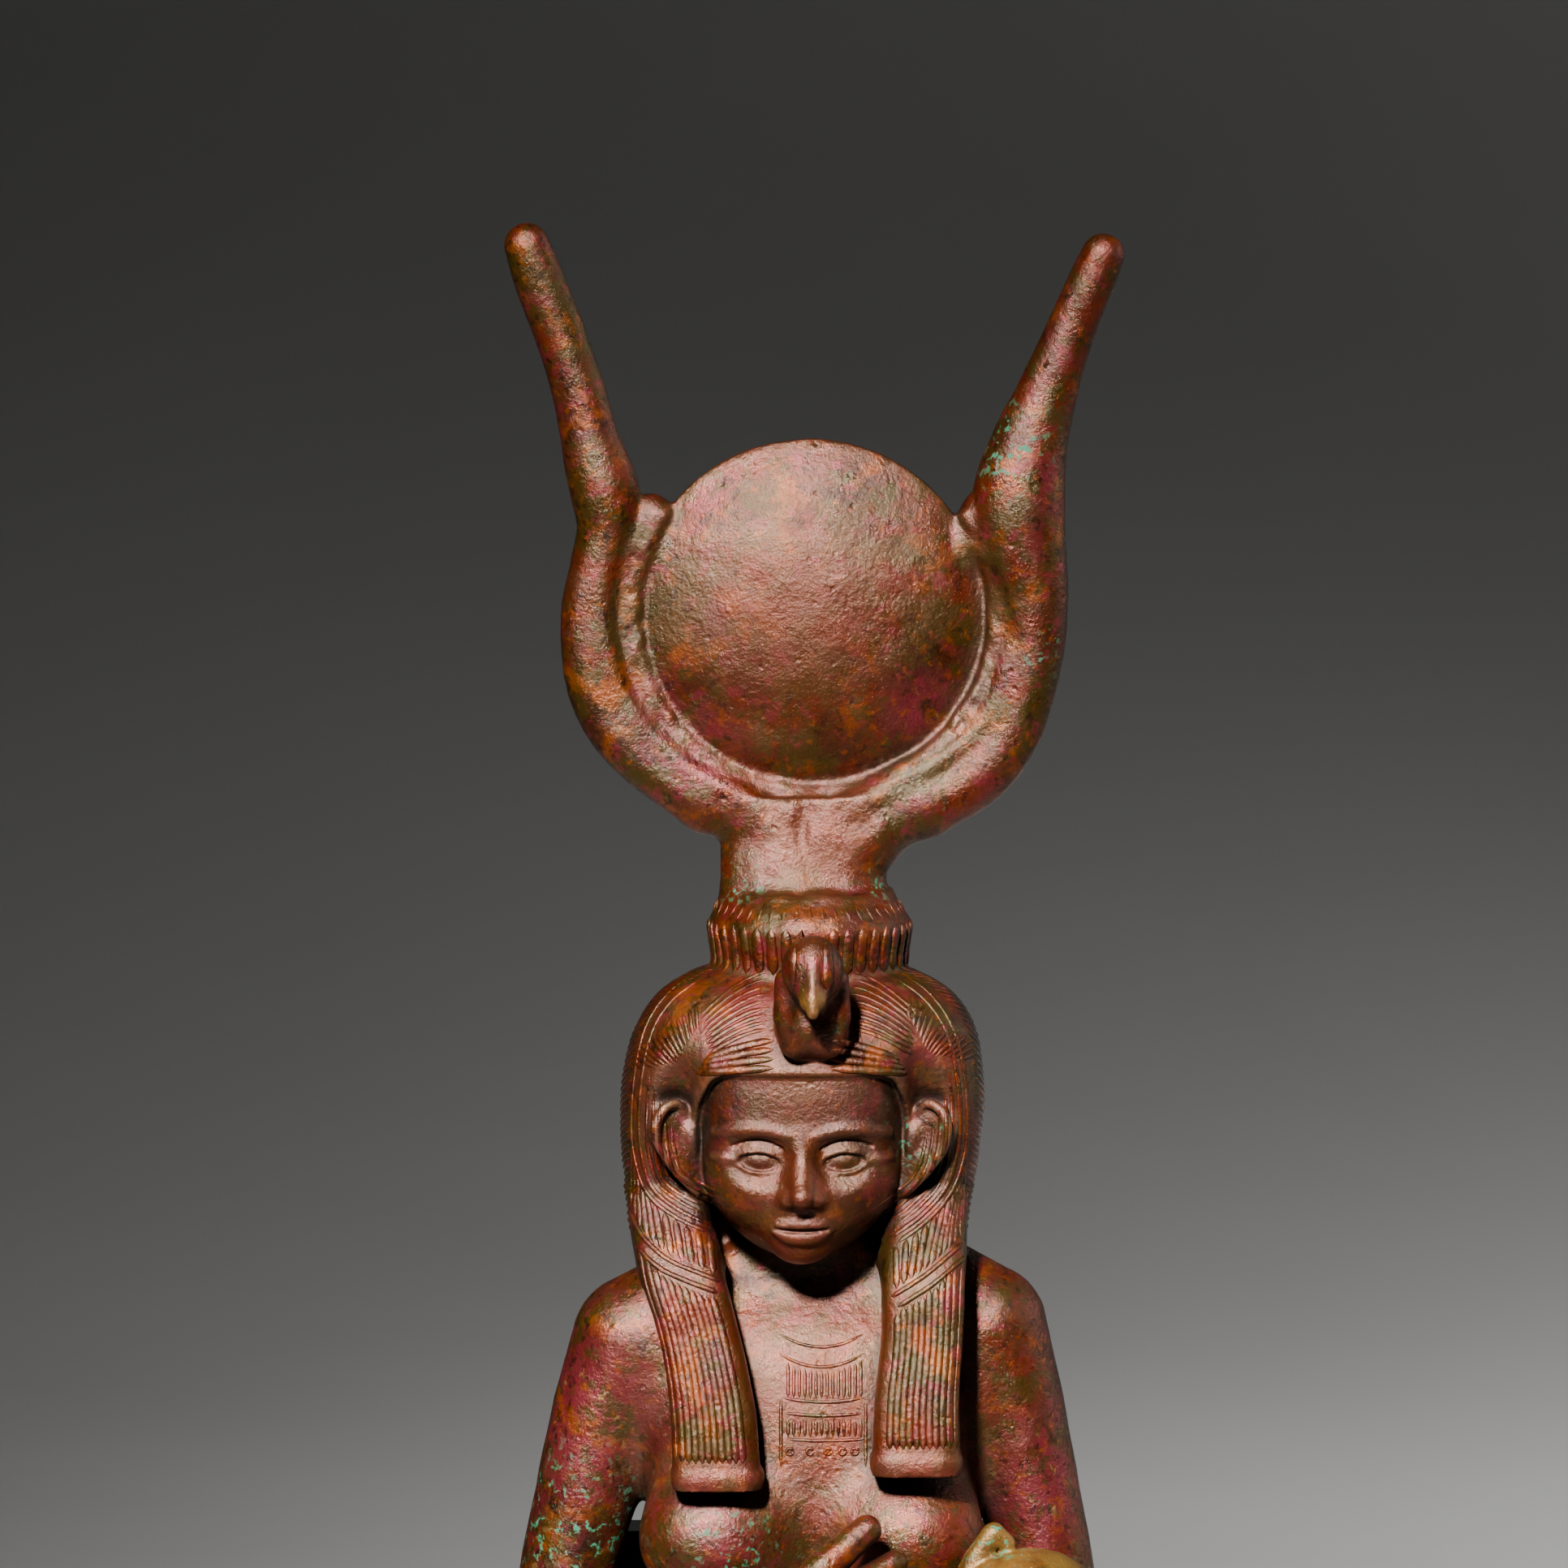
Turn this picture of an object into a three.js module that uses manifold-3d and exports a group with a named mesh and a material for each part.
import * as THREE from "three";
import { mergeVertices } from "three/addons/utils/BufferGeometryUtils.js";
import Module from "manifold-3d";

// Bronze statuette of a seated goddess nursing a child, cast as one solid with its foot plinth,
// and the plain black block seat that it rests in.
// Millimetres, +Z up, the goddess faces -Y, and the origin is at the middle of the seat's underside.

// Driving dimensions
const figureHeight = 265; // soles to horn tips
const plinthWidth = 27; // bronze plinth under the feet
const plinthDepth = 33;
const plinthThickness = 5;
const restGap = 0.3; // between the casting and the seat, all round
const slabWidth = 62; // the seat's low base
const slabThickness = 9;
const slabFrontMargin = 6; // slab in front of the plinth
const slabRearMargin = 3; // slab behind the seat's back
const seatWidth = 48;
const backThickness = 9;

// The figure is laid out on a grid of 265 units from sole to horn tip, and the lengths below are in them.
const unit = figureHeight / 265;
const seatPlane = 49;
const calfPlane = -27.5; // where the block seat's front stands, just behind the calves
const backPlane = 13.2; // where the seat's back meets the figure's back
const backTop = 116.5;
const toePlane = -59.5;
const soleRaise = slabThickness + restGap + plinthThickness;
const soleSink = 0.8; // how far the soles are sunk in their plinth

const triangleBudget = 9300;

// A shape is a signed distance, at(x, y, z), with the corners lo and hi of a box that holds it.
const shape = (at, lo, hi) => ({ at, lo, hi });

function boxDistance(s, x, y, z) {
  const dx = Math.max(s.lo[0] - x, 0, x - s.hi[0]);
  const dy = Math.max(s.lo[1] - y, 0, y - s.hi[1]);
  const dz = Math.max(s.lo[2] - z, 0, z - s.hi[2]);
  return Math.sqrt(dx * dx + dy * dy + dz * dz);
}

// A limb through points [x, y, z, radius], as a row of tapered rods. Flatness above 1 thins it along Y.
function limb(points, flatness = 1) {
  const rods = points.slice(1).map((b, i) => {
    const a = points[i];
    const d = [b[0] - a[0], (b[1] - a[1]) * flatness, b[2] - a[2]];
    return { a, d, grow: b[3] - a[3], length2: d[0] ** 2 + d[1] ** 2 + d[2] ** 2 };
  });
  const at = (x, y, z) => {
    let least = Infinity;
    for (const { a, d, grow, length2 } of rods) {
      const px = x - a[0];
      const py = (y - a[1]) * flatness;
      const pz = z - a[2];
      const t = Math.min(1, Math.max(0, (px * d[0] + py * d[1] + pz * d[2]) / length2));
      const gap = Math.sqrt((px - t * d[0]) ** 2 + (py - t * d[1]) ** 2 + (pz - t * d[2]) ** 2);
      least = Math.min(least, gap - a[3] - t * grow);
    }
    return least / Math.sqrt(flatness);
  };
  const axes = [0, 1, 2];
  const lo = axes.map((axis) => Math.min(...points.map((p) => p[axis] - p[3])));
  const hi = axes.map((axis) => Math.max(...points.map((p) => p[axis] + p[3])));
  return shape(at, lo, hi);
}

// An egg of half sizes r; power 2 is an ellipsoid and more is boxier.
// Turn holds angles about X, Y and Z in degrees.
function egg(c, r, power = 2, turn = [0, 0, 0]) {
  const matrix = new THREE.Matrix4().makeRotationFromEuler(
    new THREE.Euler(...turn.map(THREE.MathUtils.degToRad)),
  );
  const m = matrix.invert().elements;
  const at = (x, y, z) => {
    const px = x - c[0];
    const py = y - c[1];
    const pz = z - c[2];
    const qx = Math.abs(m[0] * px + m[4] * py + m[8] * pz) / r[0];
    const qy = Math.abs(m[1] * px + m[5] * py + m[9] * pz) / r[1];
    const qz = Math.abs(m[2] * px + m[6] * py + m[10] * pz) / r[2];
    const sum = Math.pow(qx ** power + qy ** power + qz ** power, 1 / power) + 1e-6;
    const slope =
      Math.pow(sum, 1 - power) *
      Math.sqrt(
        (qx ** (power - 1) / r[0]) ** 2 +
          (qy ** (power - 1) / r[1]) ** 2 +
          (qz ** (power - 1) / r[2]) ** 2,
      );
    return (sum - 1) / (slope + 1e-6);
  };
  const reach = turn.some((angle) => angle) ? r.map(() => Math.max(...r)) : r;
  return shape(at, c.map((v, i) => v - reach[i]), c.map((v, i) => v + reach[i]));
}

// A smooth curve through rows [position, ...values], read from a fine table.
function curveThrough(rows) {
  const steps = 256;
  const first = rows[0][0];
  const span = rows[rows.length - 1][0] - first;
  const slopes = rows.map((row, i) => {
    const before = rows[Math.max(0, i - 1)];
    const after = rows[Math.min(rows.length - 1, i + 1)];
    return row.map((_, j) => (after[j] - before[j]) / (after[0] - before[0]));
  });
  const table = Array.from({ length: steps + 1 }, (_, n) => {
    const position = first + (span * n) / steps;
    let i = 0;
    while (i < rows.length - 2 && position > rows[i + 1][0]) i++;
    const width = rows[i + 1][0] - rows[i][0];
    const t = Math.min(1, Math.max(0, (position - rows[i][0]) / width));
    return rows[i].slice(1).map((value, k) => {
      const j = k + 1;
      return (
        value * (2 * t ** 3 - 3 * t ** 2 + 1) +
        rows[i + 1][j] * (3 * t ** 2 - 2 * t ** 3) +
        width * slopes[i][j] * (t ** 3 - 2 * t ** 2 + t) +
        width * slopes[i + 1][j] * (t ** 3 - t ** 2)
      );
    });
  });
  return (position) => table[Math.round(Math.min(1, Math.max(0, (position - first) / span)) * steps)];
}

// An upright form: stations [height, centre x, centre y, half width, half depth] with a rounded section.
function column(stations, power = 2) {
  const sizes = curveThrough(stations);
  const low = stations[0][0];
  const high = stations[stations.length - 1][0];
  const at = (x, y, z) => {
    const [cx, cy, width, depth] = sizes(z);
    const qx = Math.abs(x - cx) / width;
    const qy = Math.abs(y - cy) / depth;
    const sum = Math.pow(qx ** power + qy ** power, 1 / power) + 1e-6;
    const slope =
      Math.pow(sum, 1 - power) * Math.hypot(qx ** (power - 1) / width, qy ** (power - 1) / depth);
    const side = (sum - 1) / (slope + 1e-6);
    return Math.max(side, low - z, z - high);
  };
  const least = (axis) => Math.min(...stations.map((s) => s[1 + axis] - s[3 + axis])) - 1;
  const most = (axis) => Math.max(...stations.map((s) => s[1 + axis] + s[3 + axis])) + 1;
  return shape(at, [least(0), least(1), low], [most(0), most(1), high]);
}

// A round hoop in an upright plane across Y, open at the top by the gap, an angle to each side.
function hoop(c, radius, thickness, gap = 0) {
  const [run, rise] = [radius * Math.sin(gap), radius * Math.cos(gap)];
  const at = (x, y, z) => {
    const [across, up] = [Math.abs(x - c[0]), z - c[2]];
    const open = Math.atan2(across, up) < gap;
    const way = open ? Math.hypot(across - run, up - rise) : Math.hypot(across, up) - radius;
    return Math.sqrt(way * way + (y - c[1]) ** 2) - thickness;
  };
  const reach = [radius + thickness, thickness, radius + thickness];
  return shape(at, c.map((v, i) => v - reach[i]), c.map((v, i) => v + reach[i]));
}

// A round lens across Y: domed by the depth on both faces, from a rim of half thickness `rim`.
function lens(c, radius, depth, rim) {
  const ball = (radius ** 2 + depth ** 2) / (2 * depth);
  const at = (x, y, z) => {
    const out = Math.max(0, Math.abs(y - c[1]) - rim) + ball - depth;
    return Math.sqrt((x - c[0]) ** 2 + (z - c[2]) ** 2 + out * out) - ball;
  };
  const reach = [radius, depth + rim, radius];
  return shape(at, c.map((v, i) => v - reach[i]), c.map((v, i) => v + reach[i]));
}

// Shapes joined with a fillet of about the given size.
function blend(fillet, ...parts) {
  const at = (x, y, z) => {
    let d = 1e3;
    for (const part of parts) {
      if (boxDistance(part, x, y, z) >= d + fillet) continue;
      const other = part.at(x, y, z);
      const overlap = Math.max(fillet - Math.abs(d - other), 0);
      d = Math.min(d, other) - (overlap * overlap) / (4 * fillet);
    }
    return d;
  };
  const corner = (key, pick) => [0, 1, 2].map((axis) => pick(...parts.map((part) => part[key][axis])));
  return shape(at, corner("lo", Math.min), corner("hi", Math.max));
}

// A body with cutters taken out of it, the cut's edge rounded by the fillet.
function carve(body, fillet, ...cutters) {
  const at = (x, y, z) => {
    let d = body.at(x, y, z);
    for (const cutter of cutters) {
      if (boxDistance(cutter, x, y, z) > fillet - d) continue;
      const other = -cutter.at(x, y, z);
      const overlap = Math.max(fillet - Math.abs(d - other), 0);
      d = Math.max(d, other) + (overlap * overlap) / (4 * fillet);
    }
    return d;
  };
  return shape(at, body.lo, body.hi);
}

// A form given for the right half, drawn on both sides of the middle plane.
function mirrored(half) {
  const reach = Math.max(Math.abs(half.lo[0]), Math.abs(half.hi[0]));
  const at = (x, y, z) => half.at(Math.abs(x), y, z);
  return shape(at, [-reach, half.lo[1], half.lo[2]], [reach, half.hi[1], half.hi[2]]);
}

// A form made round its own origin, leaned about X by an angle in degrees and then moved.
function placed(form, move, lean = 0) {
  const cos = Math.cos(THREE.MathUtils.degToRad(lean));
  const sin = Math.sin(THREE.MathUtils.degToRad(lean));
  const at = (x, y, z) => {
    const py = y - move[1];
    const pz = z - move[2];
    return form.at(x - move[0], cos * py + sin * pz, cos * pz - sin * py);
  };
  const reach = Math.max(...[...form.lo, ...form.hi].map(Math.abs)) * Math.SQRT2;
  return shape(at, move.map((v) => v - reach), move.map((v) => v + reach));
}

// The skull, jaw, features and ears, round the middle of the head, for one half where they repeat.
function face() {
  const skull = blend(
    4,
    egg([0, -1.6, 5.5], [11.5, 12.3, 12.4], 3),
    egg([0, -4, -0.8], [9.2, 9.4, 8.2], 2.1),
    egg([0, -5.2, -4.9], [5.5, 7.2, 4.8]),
    mirrored(egg([4.7, -8.8, -0.9], [3.6, 4, 3.6])),
  );
  const sockets = mirrored(egg([4.7, -15.5, 2.1], [4.2, 2.9, 2.4], 2, [8, 0, 10]));
  const mouthMound = egg([0, -11.6, -4.9], [4.2, 3, 2.9]);
  const chin = egg([0, -11, -7.9], [2.5, 2.3, 1.8]);
  const eyeTurn = [0, -4, 14];
  const lids = carve(
    egg([4.6, -11, 2.1], [3.5, 3, 2.35], 2, eyeTurn),
    0.2,
    egg([4.7, -13.9, 2], [2.9, 2.6, 1.2], 2, eyeTurn),
  );
  const eyes = mirrored(blend(0.2, lids, egg([4.6, -11, 2.1], [2.9, 2.3, 1.7], 2, eyeTurn)));
  const brows = mirrored(
    limb([[1.7, -13.6, 5.1, 0.6], [4.2, -13.4, 5.7, 0.8], [6.9, -12.5, 5.6, 0.75], [9.5, -10.4, 4.8, 0.5]]),
  );
  const nose = blend(
    0.8,
    limb([[0, -12.9, 4.8, 1.15], [0, -13.9, 2.3, 1], [0, -15.3, 0.1, 1.1], [0, -16.4, -1.3, 1.3]]),
    egg([0, -13, -0.9], [2.2, 3, 3.2], 2, [12, 0, 0]),
    mirrored(egg([1.6, -14.5, -1.9], [1.05, 1.7, 1])),
  );
  const lips = blend(
    0.4,
    mirrored(limb([[0, -14.7, -4.8, 0.7], [0.9, -14.6, -4.6, 0.75], [2.2, -14.2, -4.9, 0.6], [3.4, -13.4, -5.2, 0.35]])),
    mirrored(limb([[0, -14.2, -6.25, 1], [1.3, -14.1, -6.15, 0.92], [2.4, -13.8, -5.7, 0.6], [3.4, -13.4, -5.3, 0.3]])),
  );
  const earTurn = [0, 15, -24];
  const earRoot = limb([[9.5, -4.6, 1, 2.4], [13.2, -6.4, 1.4, 1.6], [13.9, -6.2, 5.4, 1.9]]);
  const lobe = limb([[13, -8.3, 0.6, 1.7], [12.1, -8.4, -3, 1.1]]);
  const ear = carve(
    blend(0.8, egg([13.4, -8.3, 3.2], [2.9, 1.5, 5], 2, earTurn), lobe, earRoot),
    0.6,
    egg([13.6, -10.1, 4], [1.7, 1.4, 3.1], 2, earTurn),
  );
  const ground = blend(2.4, carve(skull, 2, sockets), mouthMound, chin);
  return blend(0.5, blend(1.1, ground, nose), eyes, brows, lips, mirrored(ear));
}

// The tripartite wig round the face: its crown, side rolls, back fall and the two lappets on the chest.
function wig() {
  const hollow = egg([-1.2, -18.5, 157], [15.8, 14, 12], 2.4); // for the face
  const scoops = [-1, 1].map((side) => egg([-1.2 + side * 13.6, -15.8, 162], [3.7, 9.8, 9.6], 2.3)); // round each ear
  const temples = [-1, 1].map((side) => egg([-1.2 + side * 13.4, -16.4, 169.8], [2.6, 6.4, 5.4]));
  const dome = blend(2, egg([-1.2, 2.5, 165.2], [20, 17.2, 17.6], 2.5), egg([-0.4, 0.5, 170], [19, 13, 12.3], 2.9));
  const crown = carve(dome, 2.4, hollow, ...scoops, ...temples);
  const cap = carve(egg([-1.1, -2.2, 167], [12.7, 13.1, 11.6], 2.6), 1, egg([-1.1, -16, 152], [16, 16, 10], 4));
  const opening = egg([-1.05, -20, 157.6], [10.9, 21, 14], 9); // straight along the forehead
  const sides = egg([-1.05, -20, 159.6], [13.2, 14.6, 9.4], 4); // bares the temples in front of the ears
  const hood = carve(blend(1.6, crown, cap), 0.5, opening, sides);
  const rolls = [-1, 1].map((side) =>
    limb([
      [-1.7 + side * 15.7, -0.6, 160, 2.6],
      [-1.8 + side * 14.5, -3.4, 154.6, 3.6],
      [-1.4 + side * 13.5, -6.2, 149.6, 4],
    ]),
  );
  const lappets = [-1, 1].map((side) =>
    column(
      [
        [side < 0 ? 125.4 : 127, 0.6 + side * 11, -12.2, 4.9, 3.3],
        [134.5, 0.3 + side * 11.3, -11.6, 4.7, 3.2],
        [142, -0.1 + side * 12.3, -10.4, 4.5, 3.2],
        [149, -1 + side * 13.4, -8.6, 4.6, 3.6],
        [157, -1.4 + side * 14.7, -3.4, 4, 3.2],
      ],
      3.4,
    ),
  );
  const back = column(
    [
      [132, -0.4, 10.4, 12.5, 3.4],
      [142, -0.5, 10.6, 13.5, 4.2],
      [152, -0.9, 8.5, 16.5, 6.5],
      [162, -1.2, 6, 18.6, 10],
    ],
    2.6,
  );
  return blend(2, hood, back, ...rolls, ...lappets);
}

// The vulture's head on the brow, its body spread on the wig and its beak bent down.
function browBird() {
  const chest = egg([0, -13.6, 177.6], [4, 3.9, 4.2]);
  const flanks = mirrored(limb([[1.9, -15.6, 175.4, 1.7], [2.9, -16.8, 178.4, 1.4], [2.6, -17.2, 182.4, 1.5]]));
  const neck = limb([[0, -14.4, 180, 2.7], [0, -17.4, 183.4, 2.9]]);
  const head = egg([0.1, -19.9, 184], [3.4, 3.4, 3.9], 2, [28, 0, 0]);
  const beak = limb([[0.1, -21, 183, 2.5], [0.1, -22.9, 181, 1.5], [0.1, -23.9, 179.6, 0.7]]);
  const recess = limb([[0, -20.8, 179.8, 1.8], [0, -18.6, 176.2, 0.6]]);
  return blend(0.6, carve(blend(1, chest, flanks, neck), 0.6, recess), blend(0.8, head, beak));
}

// The crown of sun disc and cow's horns on its ribbed round base.
const ribCount = 24;
const baseMiddle = [-0.2, 2];
const discCentre = [0.4, 2, 221.4];
const discRadius = 19.5;
const ringRadius = 24.9;

// Each side's ring [angle from the top, way off the ring's radius, radius] and horn [way from the disc's centre
// along X and Z, radius], up to the tip.
const hornRows = {
  left: {
    side: -1,
    ring: [[2.62, -0.3, 3.3], [2.4, 0.1, 3.3], [2.2, 0.4, 3.3], [2, 0.7, 3.3], [1.8, 0.6, 3.3], [1.6, 0.1, 3.25],
      [1.38, -0.4, 3.2], [1.2, -0.1, 3.3]],
    horn: [[-23, 11.6, 3.75], [-23.5, 14.1, 3.85], [-24.1, 16.2, 3.65], [-25.1, 19.9, 3.2],
      [-26.5, 25.6, 2.95], [-28.4, 31.4, 2.85], [-30.6, 37.1, 2.8], [-31.9, 40.8, 2.5]],
  },
  right: {
    side: 1,
    ring: [[2.6, 0.6, 3.9], [2.35, 0.7, 3.8], [2.1, 0.3, 3.6], [1.92, -0.2, 3.6], [1.75, -0.6, 3.7], [1.5, -0.9, 4.1],
      [1.25, -0.8, 4.9]],
    horn: [[22.5, 11.1, 5.2], [22.7, 14.1, 5], [23.3, 17, 4.5], [24.1, 19.9, 4.05], [25.1, 22.7, 3.6],
      [26.1, 25.6, 3.25], [28.3, 31.4, 2.75], [30.7, 37.1, 2.6], [31.8, 39.7, 2.4]],
  },
};

function ringAndHorn({ side, ring, horn }) {
  const [x, y, z] = discCentre;
  const rows = ring.map(([angle, off, r]) => {
    const reach = ringRadius + off;
    return [x + side * reach * Math.sin(angle), y, z + reach * Math.cos(angle), r];
  });
  const tip = horn.at(-1)[1];
  const forward = (dz) => 1.5 * Math.max(0, (dz - 12) / (tip - 12)) ** 2; // the horns bend forward to their tips
  for (const [dx, dz, r] of horn) rows.push([x + dx, y - forward(dz), z + dz, r]);
  return limb(rows, 1.15);
}

function sunAndHorns() {
  const base = carve(
    column([
      [181, ...baseMiddle, 10.9, 10.7],
      [183, ...baseMiddle, 11, 10.9],
      [185, ...baseMiddle, 11.2, 11.2],
      [186.8, ...baseMiddle, 11.4, 11.4],
      [188.3, ...baseMiddle, 10.5, 10.7],
      [189.4, ...baseMiddle, 9.8, 9.5],
      [190.4, ...baseMiddle, 9.2, 8.4],
    ]),
    0.5,
    ...Array.from({ length: ribCount }, (_, n) => {
      const angle = ((n + 0.5) * 2 * Math.PI) / ribCount;
      const [x, y] = [baseMiddle[0] + 12.1 * Math.sin(angle), baseMiddle[1] - 12.1 * Math.cos(angle)];
      return limb([[x, y, 182.6, 0.8], [x, y, 187.6, 0.8]]);
    }),
  );
  const stem = column(
    [
      [188, -0.8, 2, 9.6, 6.5],
      [192, -0.9, 2, 9.2, 5],
      [194.5, -0.5, 2, 9.5, 4.5],
      [197, 0.8, 2, 10, 4.2],
      [201, 0.3, 2, 12, 3.6],
    ],
    2.4,
  );
  const offCentre = (dx, dy, dz) => [discCentre[0] + dx, discCentre[1] + dy, discCentre[2] + dz];
  const along = (...rows) => limb(rows.map(([dx, dy, dz, r]) => [...offCentre(dx, dy, dz), r]));
  const disc = lens(offCentre(-0.7, 0, -0.3), discRadius, 4.3, 1);
  const bed = hoop(offCentre(0, 0.2, 0), (discRadius + ringRadius) / 2 - 0.9, 2.1, 1.02); // the ground between disc and ring
  const lip = hoop(offCentre(0, -1.3, 0), discRadius + 0.3, 0.75, 1);
  // the ring's crest, near its inner edge, running down into the stem
  const crests = [
    along(
      [-23.3, -0.8, 8.1, 1.2], [-23.6, -1.1, 3.6, 1.5], [-23.6, -1.2, -1.4, 1.5], [-22.4, -1.2, -6.8, 1.5],
      [-20.2, -1.2, -11.3, 1.5], [-17, -1.2, -14.9, 1.5], [-13.4, -1.3, -18, 1.6], [-8.1, -1.6, -20.7, 1.8],
      [-5.2, -1.7, -23.9, 1.9],
    ),
    along(
      [23, -0.8, -1.9, 1.2], [21.6, -1.1, -5.1, 1.5], [20.3, -1.2, -9.6, 1.5], [17.6, -1.2, -13.6, 1.5],
      [14, -1.2, -16.3, 1.6], [9, -1.5, -19, 1.8], [3.6, -1.7, -21.8, 1.9],
    ),
  ];
  const fork = [
    along([-4.9, 0, -25.8, 3.1], [-12.4, 0, -20.2, 3]),
    along([4.1, 0, -26.4, 3.6], [11.6, 0, -20.8, 3.7]),
  ];
  const web = [-1, 1].map((side) => along([side * 17.3, 0.2, 7.6, 2.4], [side * 20.3, 0.2, 9.1, 2])); // disc to horn
  const frame = blend(1.6, stem, ...fork, ringAndHorn(hornRows.left), ringAndHorn(hornRows.right), ...web);
  const crease = along([-1.3, -4.5, -20, 0.9], [-1.5, -5, -23.9, 0.8], [-1.2, -5.3, -27.9, 0.3]);
  const groove = along([19.6, -3.2, 5.6, 0.4], [21.1, -3.4, 0.1, 0.8], [22.5, -3.7, -4.9, 0.5]);
  const carved = carve(blend(0.9, frame, bed, ...crests), 0.6, crease, groove);
  return blend(0.8, blend(1.2, base, carved), blend(0.5, disc, lip));
}

// The trunk from the seat to the neck, with the breasts.
function trunk() {
  const body = column(
    [
      [44, 0, 1, 18.6, 13],
      [58, 0, 1.6, 18.8, 13.4],
      [70, 0, 2.4, 17, 12],
      [82, 0, 2.4, 13.8, 9.8],
      [92, 0, 2, 12.2, 8.6],
      [104, 0, 1.5, 13, 8.8],
      [115, 0, 1, 15.4, 9.6],
      [124, 0, 1, 18.6, 10.2],
      [134, 0, 1.5, 20.4, 9.8],
      [141, 0, 2, 19.4, 8.2],
      [147, 0, 2.9, 13, 5.8],
      [152, -0.4, 2.2, 8, 6],
      [160, -0.8, 0, 7.4, 7.4],
    ],
    2.3,
  );
  return blend(4.5, body, mirrored(egg([11, -6.6, 119], [8.2, 6.8, 7.6])));
}

// The close-fitting dress over lap and shins, down to its hem, and the feet.
function lapAndLegs() {
  const thighs = mirrored(limb([[9, 0, 59, 10.8], [9, -18, 58.4, 10.4], [8.8, -36, 57, 9.4]]));
  const shins = mirrored(
    limb([[8.4, -36.5, 56, 9], [8, -38.5, 42, 8.2], [6.9, -38, 24, 6.9], [6.4, -37, 10, 5.9]]),
  );
  const lap = limb([[0, 0, 58.6, 9.6], [0, -18, 58, 9.2], [0, -34, 56, 8.2]]);
  const dress = limb([[0, -35, 55, 7.4], [0, -37, 42, 6.6], [0, -36.8, 24, 5.6], [0, -36.4, 10, 5.2]]);
  const hem = column([[5.5, 0, -37.4, 12.6, 6.8], [10, 0, -37.4, 12.2, 6.6], [20, 0, -38, 12, 6.6]], 3);
  const instep = limb([[6.2, -36, 4.5, 4.6], [6.4, -46, 3, 4], [6.8, -54, 1.8, 3.4]]);
  const feet = mirrored(blend(1.5, instep, egg([6.8, -55, 1.4], [3.7, 3.6, 2.4], 2.6)));
  return [blend(5, blend(3, thighs, lap), blend(3, shins, dress)), hem, feet];
}

// Her right arm comes across to the breast, and her left arm goes behind the child's neck.
function arms() {
  const upper = (side) =>
    limb([
      [side * 12.5, 2.4, 145.3 + side * 0.6, 6.2],
      [side * 19.5 - 0.2, 2.2, 140.8 + side * 0.7, 6.9],
      [side * 22.5 - 0.3, 2.4, 132, 6.1],
      [side * 26.4 - 0.5, 2.8, 115.5, 5.4],
      [side * 30.4 - 0.4, 3.6, 93, 5],
    ]);
  const nursing = limb([[-30.4, 3.2, 92.5, 5], [-22, -9, 98.6, 4.9], [-11, -17.4, 107, 3.7]]);
  const fingers = [
    [[-3.6, -20, 113.4, 2.2], [1.4, -20.2, 117.8, 2], [6, -18, 121.6, 1.7]],
    [[-2, -21, 111.4, 1.9], [4.4, -20.8, 115.4, 1.7], [9.2, -18.2, 118, 1.4]],
    [[-2.4, -20.8, 109, 1.8], [4.4, -20.8, 112.2, 1.6], [9.4, -18.4, 114.6, 1.3]],
    [[-3.4, -20.2, 106.8, 1.7], [3.2, -20.2, 109.4, 1.5], [7.8, -18.4, 111.6, 1.2]],
  ];
  const nursingPalm = egg([-5.4, -19.2, 110.4], [5.8, 3, 4.6], 2.4, [0, -36, 0]);
  const nursingHand = blend(1, nursingPalm, ...fingers.map((finger) => limb(finger)));
  const cradling = limb([[30.4, 3.2, 92.5, 5], [31, -8, 94.4, 4.6], [30.2, -17, 97.4, 3.7]]);
  const cradlingPalm = egg([28.6, -21.6, 99.4], [2.8, 5, 4.4], 2.4, [0, -20, 10]);
  const curled = [0, 1, 2, 3].map((n) =>
    limb([[28.6, -23.6, 102.6 - 2.3 * n, 1.5], [26.4 - 0.5 * n, -29, 102.4 - 2.5 * n, 1.3]]),
  );
  const cradlingHand = blend(1, cradlingPalm, ...curled);
  return [blend(2, upper(-1), nursing), blend(2, upper(1), cradling), nursingHand, cradlingHand];
}

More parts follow.
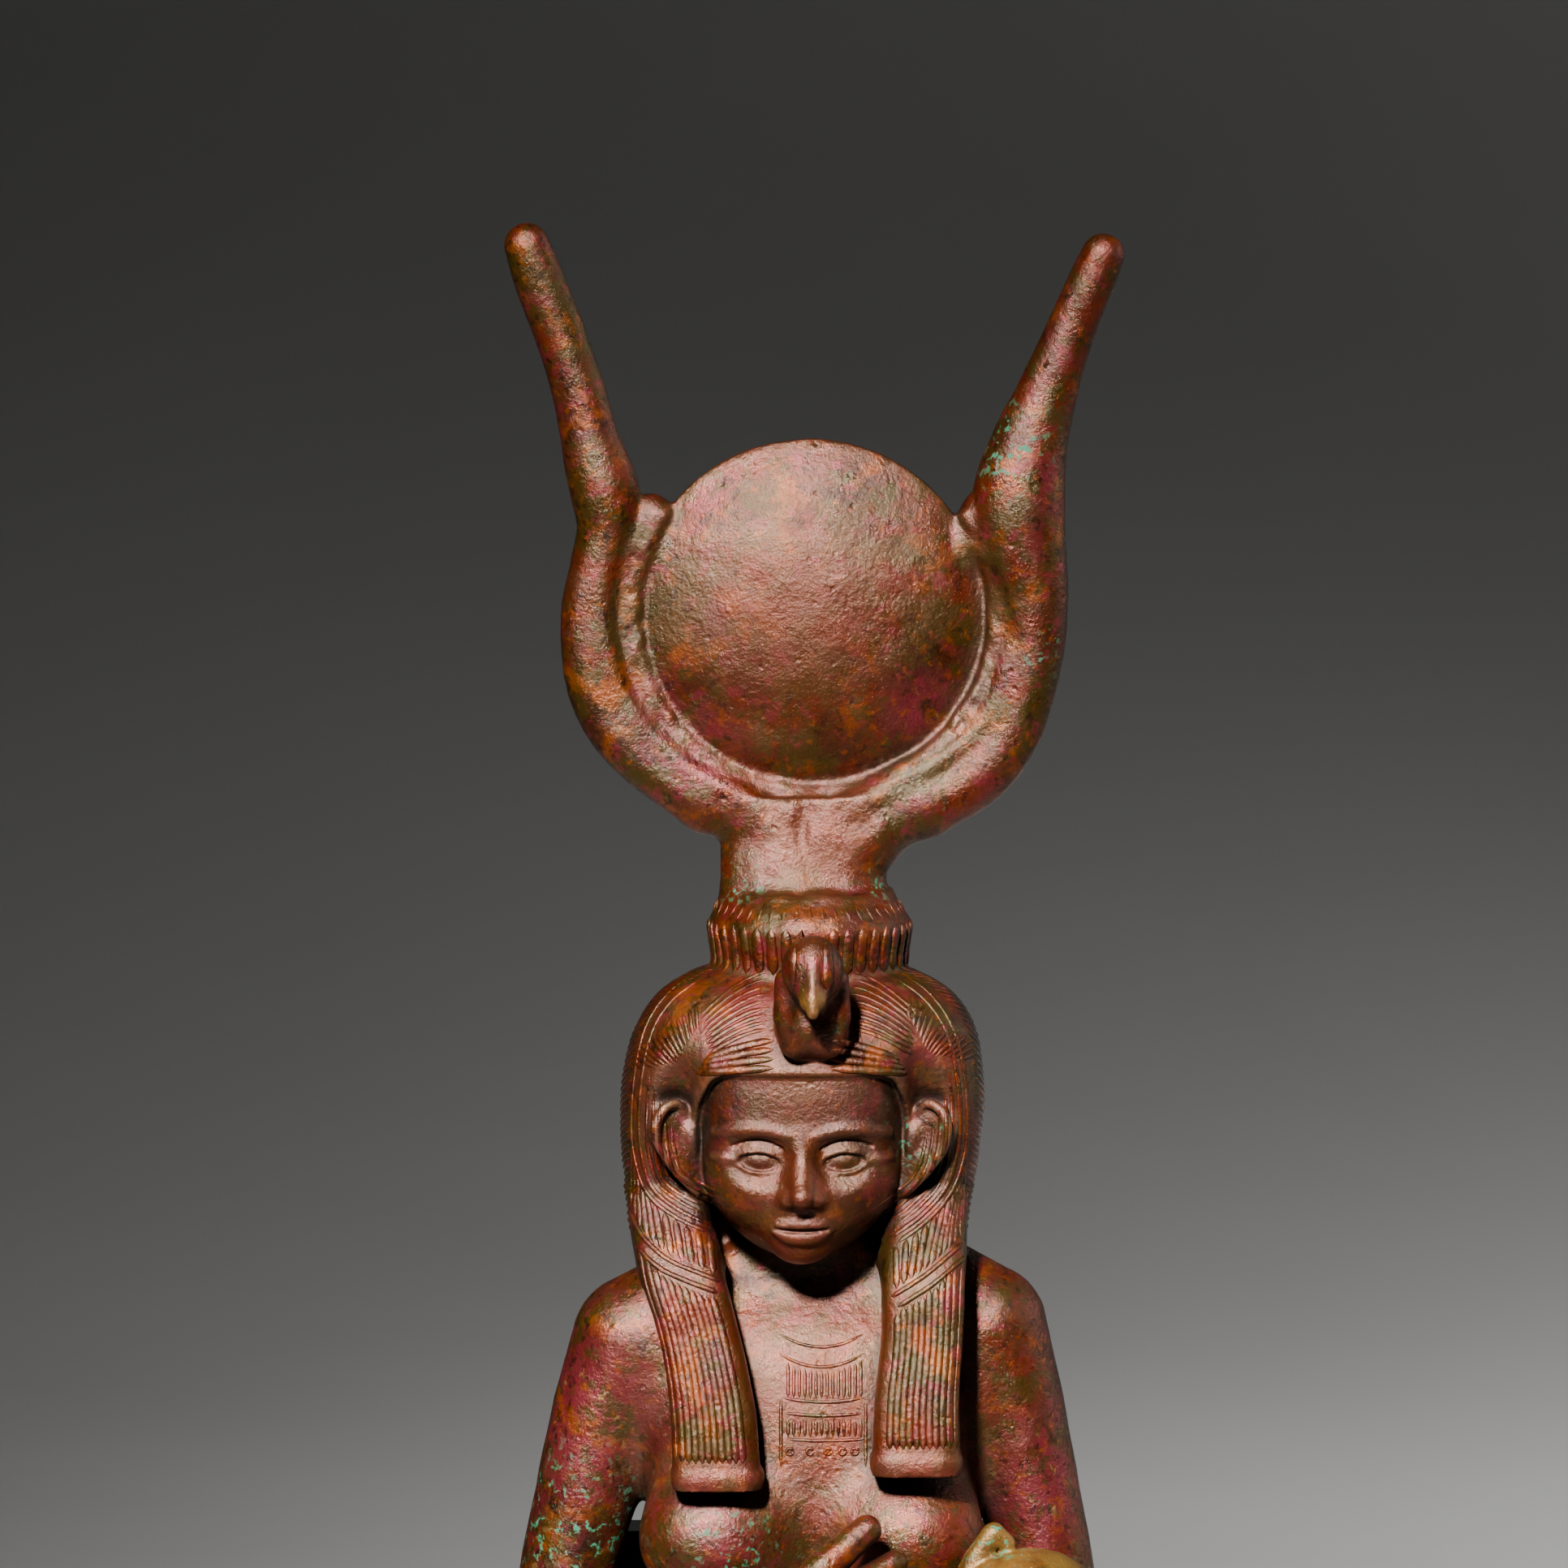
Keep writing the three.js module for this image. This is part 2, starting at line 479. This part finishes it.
// The child across her lap, his head at her left arm and his feet past her right thigh.
function child() {
  const line = -21.6; // his middle plane, along the front of hers
  const head = blend(
    1.6,
    egg([23.8, line + 1.4, 110.6], [9.2, 8.8, 9.2], 2.2),
    egg([18.6, line + 1, 108], [5.4, 6.6, 6.6]),
    egg([15, line + 1, 104.2], [2.6, 2.8, 2]),
    limb([[14.2, line + 1, 110, 0.9], [12.7, line + 1, 107.7, 1.1]]),
  );
  const ear = egg([0, 0, 0], [1.9, 1, 2.8]);
  const ears = [-1, 1].map((side) => placed(ear, [22.6, line + 1.4 + side * 8.6, 108]));
  const cobra = limb([
    [16.6, line + 1, 115.8, 1.3],
    [18, line + 1, 118.8, 1.3],
    [20, line + 1, 121.6, 1.3],
    [21.4, line + 1, 120.6, 1],
  ]);
  const sidelock = limb([
    [25, line + 9.8, 111.5, 2.6],
    [25, line + 10.8, 105, 2.2],
    [23.4, line + 10.4, 99.5, 1.6],
  ]);
  const body = limb([
    [18.6, line, 102.4, 4],
    [13.6, line, 95.6, 6.6],
    [7, line, 86, 6.5],
    [0.6, line, 76, 7.2],
  ]);
  const legs = [-1, 1].map((side) =>
    limb([
      [-1, line + side * 3.9, 74.6, 5.4],
      [-18.2, line + side * 4, 75, 4.3],
      [-20.8, line + side * 4, 73, 4],
      [-24.4, line + side * 3.5, 61.5, 2.8],
      [-25.2, line + side * 3.3, 58, 2.6],
      [-30.6, line + side * 3.6, 55.4, 2.1],
    ]),
  );
  const arm = (side) =>
    limb([
      [13.8, line + side * 6.6, 97.6, 3.4],
      [5.6, line + side * 7.8, 86.8, 2.8],
      [-4.8, line + side * 7, 80.8, 2.2],
      [-9.4, line + side * 6, 79.8, 2.3],
    ]);
  return [blend(2, head, body), ...ears, cobra, sidelock, blend(1.5, ...legs), arm(-1), arm(1)];
}

// The whole casting as one distance, from soles to horn tips.
function castFigure() {
  const [legs, hem, feet] = lapAndLegs();
  const [rightArm, leftArm, nursingHand, cradlingHand] = arms();
  const body = blend(5, trunk(), legs);
  const dressed = blend(1.2, body, hem);
  const shoulders = blend(3, dressed, rightArm, leftArm);
  const head = [placed(face(), [-1.1, 0, 161], 5), wig(), browBird(), sunAndHorns()];
  return blend(0.8, shoulders, feet, ...head, nursingHand, cradlingHand, ...child());
}

// Grid lines from low to high whose spacing is step(position).
function gridLines(low, high, step) {
  const lines = [low];
  while (lines.at(-1) < high) lines.push(lines.at(-1) + step(lines.at(-1)));
  return lines;
}

// The distances at the grid's points, worked out only in the blocks that the surface may cross.
function sampled(form, xs, ys, zs) {
  const block = 5;
  const far = 1.6; // allowance for a distance that grows faster than the way to the surface
  const values = new Float32Array(xs.length * ys.length * zs.length);
  const index = (i, j, k) => (k * ys.length + j) * xs.length + i;
  for (let k0 = 0; k0 < zs.length; k0 += block)
    for (let j0 = 0; j0 < ys.length; j0 += block)
      for (let i0 = 0; i0 < xs.length; i0 += block) {
        const i1 = Math.min(i0 + block, xs.length);
        const j1 = Math.min(j0 + block, ys.length);
        const k1 = Math.min(k0 + block, zs.length);
        const size = [xs[i1 - 1] - xs[i0], ys[j1 - 1] - ys[j0], zs[k1 - 1] - zs[k0]];
        const middle = form.at(xs[i0] + size[0] / 2, ys[j0] + size[1] / 2, zs[k0] + size[2] / 2);
        const near = Math.abs(middle) < (far * Math.hypot(...size)) / 2 + far;
        for (let k = k0; k < k1; k++)
          for (let j = j0; j < j1; j++)
            for (let i = i0; i < i1; i++)
              values[index(i, j, k)] = near ? form.at(xs[i], ys[j], zs[k]) : middle;
      }
  return values;
}

// Fills grid points where the surface would touch itself at an edge or a corner, for a clean skin.
function untangle(values, nx, ny, nz) {
  const steps = [1, nx, nx * ny];
  const all = steps[0] + steps[1] + steps[2];
  const corners = Array.from(
    { length: 8 },
    (_, n) => (n & 1) * steps[0] + ((n >> 1) & 1) * steps[1] + (n >> 2) * steps[2],
  );
  const filled = -0.02;
  const inside = (a) => values[a] < 0;
  let changed = true;
  const fill = (a) => {
    values[a] = filled;
    changed = true;
  };
  const fillEither = (a, b) => fill(values[a] < values[b] ? a : b);
  while (changed) {
    changed = false;
    for (let k = 0; k < nz - 1; k++)
      for (let j = 0; j < ny - 1; j++)
        for (let i = 0; i < nx - 1; i++) {
          const o = (k * ny + j) * nx + i;
          const crossed = corners.reduce((sum, c) => sum + (values[o + c] < 0), 0) % 8;
          if (!crossed) continue;
          for (const [u, v] of [[0, 1], [1, 2], [0, 2]]) {
            const [a, b, c, d] = [o, o + steps[u], o + steps[u] + steps[v], o + steps[v]];
            if (inside(a) !== inside(c) || inside(b) !== inside(d) || inside(a) === inside(b)) continue;
            if (inside(a)) fillEither(b, d);
            else fillEither(a, c);
          }
          for (const corner of [0, ...steps]) {
            const [a, b] = [o + corner, o + all - corner];
            if (inside(a) !== inside(b)) continue;
            if (corners.filter((c) => inside(o + c) === inside(a)).length !== 2) continue;
            if (inside(a)) fill(corner ? o : o + steps[0]);
            else fillEither(a, b);
          }
        }
  }
}

// The skin where the distance is nought: a vertex in each crossed cell and a quad across each crossed edge.
function skinOf(values, xs, ys, zs) {
  const [nx, ny] = [xs.length, ys.length];
  const steps = [1, nx, nx * ny];
  const corners = Array.from({ length: 8 }, (_, n) => [n & 1, (n >> 1) & 1, (n >> 2) & 1]);
  const edges = [];
  for (let n = 0; n < 8; n++) for (const bit of [1, 2, 4]) if (!(n & bit)) edges.push([n, n | bit]);
  const cellVertex = new Map();
  const points = [];
  const vertexOf = (i, j, k) => {
    const key = (k * ny + j) * nx + i;
    if (cellVertex.has(key)) return cellVertex.get(key);
    const sum = [0, 0, 0];
    let count = 0;
    for (const [a, b] of edges) {
      const [ca, cb] = [corners[a], corners[b]];
      const va = values[key + ca[0] * steps[0] + ca[1] * steps[1] + ca[2] * steps[2]];
      const vb = values[key + cb[0] * steps[0] + cb[1] * steps[1] + cb[2] * steps[2]];
      if (va < 0 === vb < 0) continue;
      const t = va / (va - vb);
      sum[0] += xs[i + ca[0]] * (1 - t) + xs[i + cb[0]] * t;
      sum[1] += ys[j + ca[1]] * (1 - t) + ys[j + cb[1]] * t;
      sum[2] += zs[k + ca[2]] * (1 - t) + zs[k + cb[2]] * t;
      count++;
    }
    points.push(sum.map((v) => v / count));
    cellVertex.set(key, points.length - 1);
    return points.length - 1;
  };
  const triangles = [];
  for (let k = 1; k < zs.length - 1; k++)
    for (let j = 1; j < ny - 1; j++)
      for (let i = 1; i < nx - 1; i++) {
        const here = values[(k * ny + j) * nx + i] < 0;
        for (let axis = 0; axis < 3; axis++) {
          if (here === values[(k * ny + j) * nx + i + steps[axis]] < 0) continue;
          const u = [0, 0, 0];
          const v = [0, 0, 0];
          u[(axis + 1) % 3] = 1;
          v[(axis + 2) % 3] = 1;
          const quad = [
            vertexOf(i, j, k),
            vertexOf(i - u[0], j - u[1], k - u[2]),
            vertexOf(i - u[0] - v[0], j - u[1] - v[1], k - u[2] - v[2]),
            vertexOf(i - v[0], j - v[1], k - v[2]),
          ];
          if (!here) quad.reverse();
          triangles.push([quad[0], quad[1], quad[2]], [quad[0], quad[2], quad[3]]);
        }
      }
  return { points, triangles };
}

// Fewer triangles with the same form: edges fold in the order of least error, as squared plane distances.
function thinned({ points, triangles }, budget) {
  const quadrics = points.map(() => new Float64Array(10));
  const around = points.map(() => new Set());
  const normalOf = (a, b, c) => {
    const [ux, uy, uz] = [b[0] - a[0], b[1] - a[1], b[2] - a[2]];
    const [vx, vy, vz] = [c[0] - a[0], c[1] - a[1], c[2] - a[2]];
    return [uy * vz - uz * vy, uz * vx - ux * vz, ux * vy - uy * vx];
  };
  triangles.forEach((triangle, t) => {
    const n = normalOf(...triangle.map((v) => points[v]));
    const length = Math.hypot(...n) || 1e-12;
    const plane = n.map((v) => v / length);
    plane.push(-plane.reduce((sum, v, i) => sum + v * points[triangle[0]][i], 0));
    for (const v of triangle) {
      around[v].add(t);
      let m = 0;
      for (let i = 0; i < 4; i++)
        for (let j = i; j < 4; j++) quadrics[v][m++] += (plane[i] * plane[j] * length) / 2;
    }
  });
  const errorAt = (q, [x, y, z]) =>
    q[0] * x * x + 2 * q[1] * x * y + 2 * q[2] * x * z + 2 * q[3] * x + q[4] * y * y + 2 * q[5] * y * z +
    2 * q[6] * y + q[7] * z * z + 2 * q[8] * z + q[9];
  const planFor = (a, b) => {
    const q = quadrics[a].map((v, i) => v + quadrics[b][i]);
    const middle = points[a].map((v, i) => (v + points[b][i]) / 2);
    const firm = 1e-3 * (q[0] + q[4] + q[7]) + 1e-9; // keeps the solution near the edge on flat ground
    const [m00, m01, m02, m11, m12, m22] = [q[0] + firm, q[1], q[2], q[4] + firm, q[5], q[7] + firm];
    const r = [firm * middle[0] - q[3], firm * middle[1] - q[6], firm * middle[2] - q[8]];
    const c0 = m11 * m22 - m12 * m12;
    const c1 = m02 * m12 - m01 * m22;
    const c2 = m01 * m12 - m02 * m11;
    const det = m00 * c0 + m01 * c1 + m02 * c2;
    const best = [
      (c0 * r[0] + c1 * r[1] + c2 * r[2]) / det,
      (c1 * r[0] + (m00 * m22 - m02 * m02) * r[1] + (m01 * m02 - m00 * m12) * r[2]) / det,
      (c2 * r[0] + (m01 * m02 - m00 * m12) * r[1] + (m00 * m11 - m01 * m01) * r[2]) / det,
    ];
    const place = best.every(Number.isFinite) ? best : middle;
    const spread = Math.hypot(...points[a].map((v, i) => v - points[b][i]));
    return { a, b, place, cost: Math.max(0, errorAt(q, place)) + 1e-5 * spread * spread };
  };
  const heap = [];
  const push = (item) => {
    heap.push(item);
    let i = heap.length - 1;
    while (i > 0) {
      const parent = (i - 1) >> 1;
      if (heap[parent].cost <= item.cost) break;
      heap[i] = heap[parent];
      i = parent;
    }
    heap[i] = item;
  };
  const pop = () => {
    const top = heap[0];
    const last = heap.pop();
    if (!heap.length) return top;
    let i = 0;
    for (;;) {
      let child = 2 * i + 1;
      if (child >= heap.length) break;
      if (child + 1 < heap.length && heap[child + 1].cost < heap[child].cost) child++;
      if (heap[child].cost >= last.cost) break;
      heap[i] = heap[child];
      i = child;
    }
    heap[i] = last;
    return top;
  };
  const neighbours = (v) => {
    const found = new Set();
    for (const t of around[v]) for (const w of triangles[t]) if (w !== v) found.add(w);
    return found;
  };
  const version = new Int32Array(points.length);
  const offer = (a, b) => push(Object.assign(planFor(a, b), { stamp: version[a] + version[b] }));
  points.forEach((_, a) => neighbours(a).forEach((b) => a < b && offer(a, b)));
  let alive = triangles.length;
  while (alive > budget && heap.length) {
    const { a, b, place, stamp } = pop();
    if (version[a] < 0 || version[b] < 0 || stamp !== version[a] + version[b]) continue;
    const nearA = neighbours(a);
    const nearB = neighbours(b);
    if (!nearA.has(b)) continue;
    if ([...nearA].filter((v) => nearB.has(v)).length !== 2) continue;
    const folds = (v, other) =>
      [...around[v]].some((t) => {
        const triangle = triangles[t];
        if (triangle.includes(other)) return false;
        const before = normalOf(...triangle.map((w) => points[w]));
        const after = normalOf(...triangle.map((w) => (w === v ? place : points[w])));
        const dot = before[0] * after[0] + before[1] * after[1] + before[2] * after[2];
        return dot < 0.25 * Math.hypot(...before) * Math.hypot(...after) || Math.hypot(...after) < 1e-5;
      });
    if (folds(a, b) || folds(b, a)) continue;
    points[a] = place;
    quadrics[a] = quadrics[a].map((v, i) => v + quadrics[b][i]);
    for (const t of around[b]) {
      if (triangles[t].includes(a)) {
        triangles[t].forEach((v) => around[v].delete(t));
        triangles[t] = null;
        alive--;
        continue;
      }
      triangles[t] = triangles[t].map((v) => (v === b ? a : v));
      around[a].add(t);
    }
    version[b] = -1e9;
    version[a] += 1;
    neighbours(a).forEach((v) => offer(a, v));
  }
  const kept = triangles.filter(Boolean);
  const number = new Map();
  kept.flat().forEach((v) => number.has(v) || number.set(v, number.size));
  return {
    points: [...number.keys()].map((v) => points[v]),
    triangles: kept.map((t) => t.map((v) => number.get(v))),
  };
}

const wasm = await Module();
wasm.setup();

const solidFrom = (vertProperties, triVerts) =>
  new wasm.Manifold(new wasm.Mesh({ numProp: 3, vertProperties, triVerts }));

// A closed three.js geometry as a solid that can be cut and joined.
function solidOf(geometry) {
  const bare = new THREE.BufferGeometry().setAttribute("position", geometry.getAttribute("position"));
  if (geometry.index) bare.setIndex(geometry.index);
  const merged = mergeVertices(bare, 1e-4);
  return solidFrom(new Float32Array(merged.attributes.position.array), new Uint32Array(merged.index.array));
}

// A solid as a flat-shaded geometry.
function geometryOf(solid) {
  const mesh = solid.getMesh();
  const vertices = new Float32Array(mesh.numVert * 3);
  for (let i = 0; i < mesh.numVert; i++)
    vertices.set(mesh.vertProperties.subarray(i * mesh.numProp, i * mesh.numProp + 3), i * 3);
  const geometry = new THREE.BufferGeometry()
    .setAttribute("position", new THREE.BufferAttribute(vertices, 3))
    .setIndex(new THREE.BufferAttribute(mesh.triVerts, 1))
    .toNonIndexed();
  geometry.computeVertexNormals();
  return geometry;
}

function figureSkin() {
  const form = castFigure();
  const margin = 3; // clear grid round the form, for its skin to close in
  const steps = [
    (x) => (Math.abs(x) < 17 ? 0.8 : 1.1),
    (y) => (y > -26 && y < -7 ? 0.8 : y > -7 && y < 2 ? 1.1 : 1.4),
    (z) => (z > 149 && z < 174 ? 0.65 : z > 112 && z < 235 ? 1.05 : 1.5),
  ];
  const [xs, ys, zs] = steps.map((step, axis) =>
    gridLines(form.lo[axis] - margin, form.hi[axis] + margin, step),
  );
  const values = sampled(form, xs, ys, zs);
  untangle(values, xs.length, ys.length, zs.length);
  const { points, triangles } = thinned(skinOf(values, xs, ys, zs), triangleBudget);
  const inPlace = points.map(([x, y, z]) => [x * unit, y * unit, z * unit + soleRaise]);
  return solidFrom(new Float32Array(inPlace.flat()), new Uint32Array(triangles.flat()));
}

// The seat's side outline, extruded across. Grown by a gap, it is the space that the casting stays out of.
function seatSolids(gap) {
  const front = calfPlane * unit;
  const back = backPlane * unit;
  const rear = back + backThickness;
  const slabTop = slabThickness + gap;
  const slabFront = toePlane * unit - slabFrontMargin;
  const across = (points, width) => {
    const outline = new THREE.Shape(points.map(([y, z]) => new THREE.Vector2(y, z)));
    const block = new THREE.ExtrudeGeometry(outline, { depth: width, bevelEnabled: false });
    const sideways = new THREE.Matrix4().makeBasis(
      new THREE.Vector3(0, 1, 0),
      new THREE.Vector3(0, 0, 1),
      new THREE.Vector3(1, 0, 0),
    );
    return block.translate(0, 0, -width / 2).applyMatrix4(sideways);
  };
  const seatTop = soleRaise + seatPlane * unit - restGap + gap;
  const chair = across(
    [
      [front - gap, slabThickness / 2],
      [rear, slabThickness / 2],
      [rear, soleRaise + backTop * unit],
      [back - gap, soleRaise + backTop * unit],
      [back - gap, seatTop],
      [front - gap, seatTop],
    ],
    seatWidth + 2 * gap,
  );
  const slabRear = rear + slabRearMargin;
  const slabSide = [[slabFront, 0], [slabRear, 0], [slabRear, slabTop], [slabFront, slabTop]];
  return solidOf(chair).add(solidOf(across(slabSide, slabWidth)));
}

function footPlinth() {
  const height = plinthThickness + soleSink;
  const block = new THREE.BoxGeometry(plinthWidth, plinthDepth, height);
  const middle = [0, toePlane * unit + plinthDepth / 2, slabThickness + restGap + height / 2];
  return solidOf(block.translate(...middle));
}

function bronze() {
  const casting = figureSkin().add(footPlinth()).subtract(seatSolids(restGap));
  const material = new THREE.MeshStandardMaterial({ color: 0x6e3a28, roughness: 0.42, metalness: 0.85 });
  const mesh = new THREE.Mesh(geometryOf(casting), material);
  mesh.name = "isis_and_horus";
  return mesh;
}

function seat() {
  const material = new THREE.MeshStandardMaterial({ color: 0x0b0c0e, roughness: 0.5, metalness: 0 });
  const mesh = new THREE.Mesh(geometryOf(seatSolids(0)), material);
  mesh.name = "block_seat";
  return mesh;
}

const statuette = new THREE.Group();
statuette.add(bronze(), seat());

export default statuette;
